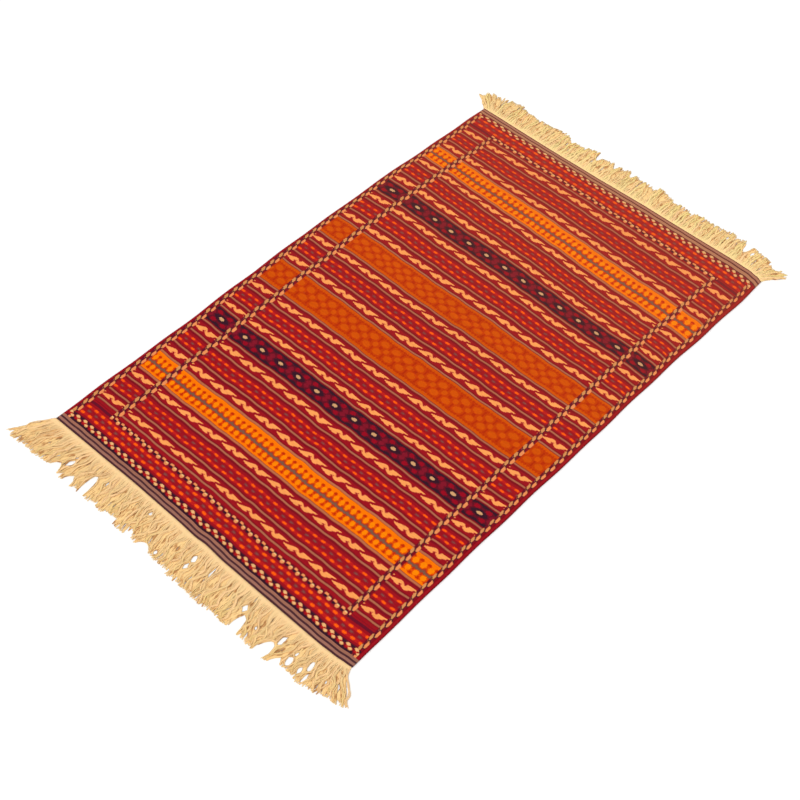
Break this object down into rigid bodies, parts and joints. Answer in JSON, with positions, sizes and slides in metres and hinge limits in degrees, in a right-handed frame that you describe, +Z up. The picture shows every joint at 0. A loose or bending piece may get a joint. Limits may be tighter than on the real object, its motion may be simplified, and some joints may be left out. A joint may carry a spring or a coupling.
{
  "type": "kashkuli rug",
  "caption": "Flat-woven striped wool rug with patterned bands, a guarded border and a loose warp fringe at each end, lying flat on the floor.",
  "frame": {"origin": "middle of the underside's bounding box, fringes included", "axes": "+Z up, +Y along the rug from the near fringe to the far fringe, +X across it"},
  "size_m": [1.1114, 1.882, 0.004],
  "materials": {
    "wool": "flat-woven wool, matt, with a soft sheen",
    "warp_yarn": "undyed wool warps, matt and fibrous"
  },
  "bodies": {
    "root": {"woven_cloth": "wool", "fringe_near": "warp_yarn", "fringe_far": "warp_yarn"}
  },
  "joints": []
}
